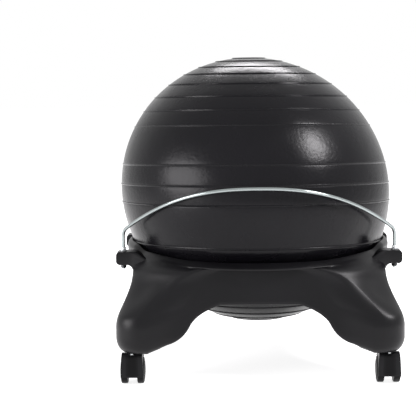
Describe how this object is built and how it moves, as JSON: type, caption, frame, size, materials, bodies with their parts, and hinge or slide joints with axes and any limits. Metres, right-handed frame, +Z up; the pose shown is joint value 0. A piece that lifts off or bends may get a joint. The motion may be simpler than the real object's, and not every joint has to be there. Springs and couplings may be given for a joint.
{
  "type": "balance ball chair",
  "caption": "Inflated ridged ball seat held in a low square moulded base with a round rim, splayed legs on swivelling twin-wheel casters, and a bent rod in front of the ball.",
  "frame": {"origin": "on the floor under the centre of the chair, which is the bottom centre of its bounding box", "axes": "+Z up, the front with the bar faces -Y, +X to the right in the picture"},
  "size_m": [0.537, 0.5378, 0.594],
  "materials": {
    "black_moulding": "satin, finely grained",
    "charcoal_vinyl": "soft vinyl with a silky sheen",
    "plug_plastic": "satin",
    "bright_rod": "polished",
    "zinc_fastener": "bright zinc",
    "black_fastener": "black oxide",
    "black_nylon": "satin"
  },
  "bodies": {
    "base": {"base_shell": "black_moulding", "retaining_bar": "bright_rod", "upper_washer_left": "zinc_fastener", "upper_nut_left": "zinc_fastener", "lower_washer_left": "zinc_fastener", "lower_nut_left": "black_fastener", "upper_washer_right": "zinc_fastener", "upper_nut_right": "zinc_fastener", "lower_washer_right": "zinc_fastener", "lower_nut_right": "black_fastener", "caster_socket_front_left": "black_nylon", "caster_socket_front_right": "black_nylon", "caster_socket_rear_left": "black_nylon", "caster_socket_rear_right": "black_nylon"},
    "ball": {"ball": "charcoal_vinyl"},
    "plug": {"air_plug": "plug_plastic"},
    "caster_front_left": {"caster_stem_front_left": "zinc_fastener", "caster_hood_front_left": "black_nylon", "caster_axle_front_left": "zinc_fastener"},
    "wheel_front_left_left": {"wheel_front_left_left": "black_nylon"},
    "wheel_front_left_right": {"wheel_front_left_right": "black_nylon"},
    "caster_front_right": {"caster_stem_front_right": "zinc_fastener", "caster_hood_front_right": "black_nylon", "caster_axle_front_right": "zinc_fastener"},
    "wheel_front_right_left": {"wheel_front_right_left": "black_nylon"},
    "wheel_front_right_right": {"wheel_front_right_right": "black_nylon"},
    "caster_rear_left": {"caster_stem_rear_left": "zinc_fastener", "caster_hood_rear_left": "black_nylon", "caster_axle_rear_left": "zinc_fastener"},
    "wheel_rear_left_left": {"wheel_rear_left_left": "black_nylon"},
    "wheel_rear_left_right": {"wheel_rear_left_right": "black_nylon"},
    "caster_rear_right": {"caster_stem_rear_right": "zinc_fastener", "caster_hood_rear_right": "black_nylon", "caster_axle_rear_right": "zinc_fastener"},
    "wheel_rear_right_left": {"wheel_rear_right_left": "black_nylon"},
    "wheel_rear_right_right": {"wheel_rear_right_right": "black_nylon"}
  },
  "joints": [
    {"name": "ball_turn", "type": "hinge", "parent": "base", "child": "ball", "pos_m": [0, 0, 0.337], "axis": [0, 0, 1], "continuous": true},
    {"name": "plug_pull", "type": "slide", "parent": "ball", "child": "plug", "axis": [0, 0, -1], "range_m": [0, 0.016]},
    {"name": "swivel_front_left", "type": "hinge", "parent": "base", "child": "caster_front_left", "pos_m": [-0.234, -0.2264, 0], "axis": [0, 0, 1], "continuous": true},
    {"name": "roll_front_left_left", "type": "hinge", "parent": "caster_front_left", "child": "wheel_front_left_left", "pos_m": [-0.2498, -0.2084, 0.0245], "axis": [1, 0, 0], "continuous": true},
    {"name": "roll_front_left_right", "type": "hinge", "parent": "caster_front_left", "child": "wheel_front_left_right", "pos_m": [-0.2182, -0.2084, 0.0245], "axis": [1, 0, 0], "continuous": true},
    {"name": "swivel_front_right", "type": "hinge", "parent": "base", "child": "caster_front_right", "pos_m": [0.234, -0.2264, 0], "axis": [0, 0, 1], "continuous": true},
    {"name": "roll_front_right_left", "type": "hinge", "parent": "caster_front_right", "child": "wheel_front_right_left", "pos_m": [0.2182, -0.2084, 0.0245], "axis": [1, 0, 0], "continuous": true},
    {"name": "roll_front_right_right", "type": "hinge", "parent": "caster_front_right", "child": "wheel_front_right_right", "pos_m": [0.2498, -0.2084, 0.0245], "axis": [1, 0, 0], "continuous": true},
    {"name": "swivel_rear_left", "type": "hinge", "parent": "base", "child": "caster_rear_left", "pos_m": [-0.234, 0.2264, 0], "axis": [0, 0, 1], "continuous": true},
    {"name": "roll_rear_left_left", "type": "hinge", "parent": "caster_rear_left", "child": "wheel_rear_left_left", "pos_m": [-0.2498, 0.2444, 0.0245], "axis": [1, 0, 0], "continuous": true},
    {"name": "roll_rear_left_right", "type": "hinge", "parent": "caster_rear_left", "child": "wheel_rear_left_right", "pos_m": [-0.2182, 0.2444, 0.0245], "axis": [1, 0, 0], "continuous": true},
    {"name": "swivel_rear_right", "type": "hinge", "parent": "base", "child": "caster_rear_right", "pos_m": [0.234, 0.2264, 0], "axis": [0, 0, 1], "continuous": true},
    {"name": "roll_rear_right_left", "type": "hinge", "parent": "caster_rear_right", "child": "wheel_rear_right_left", "pos_m": [0.2182, 0.2444, 0.0245], "axis": [1, 0, 0], "continuous": true},
    {"name": "roll_rear_right_right", "type": "hinge", "parent": "caster_rear_right", "child": "wheel_rear_right_right", "pos_m": [0.2498, 0.2444, 0.0245], "axis": [1, 0, 0], "continuous": true}
  ]
}
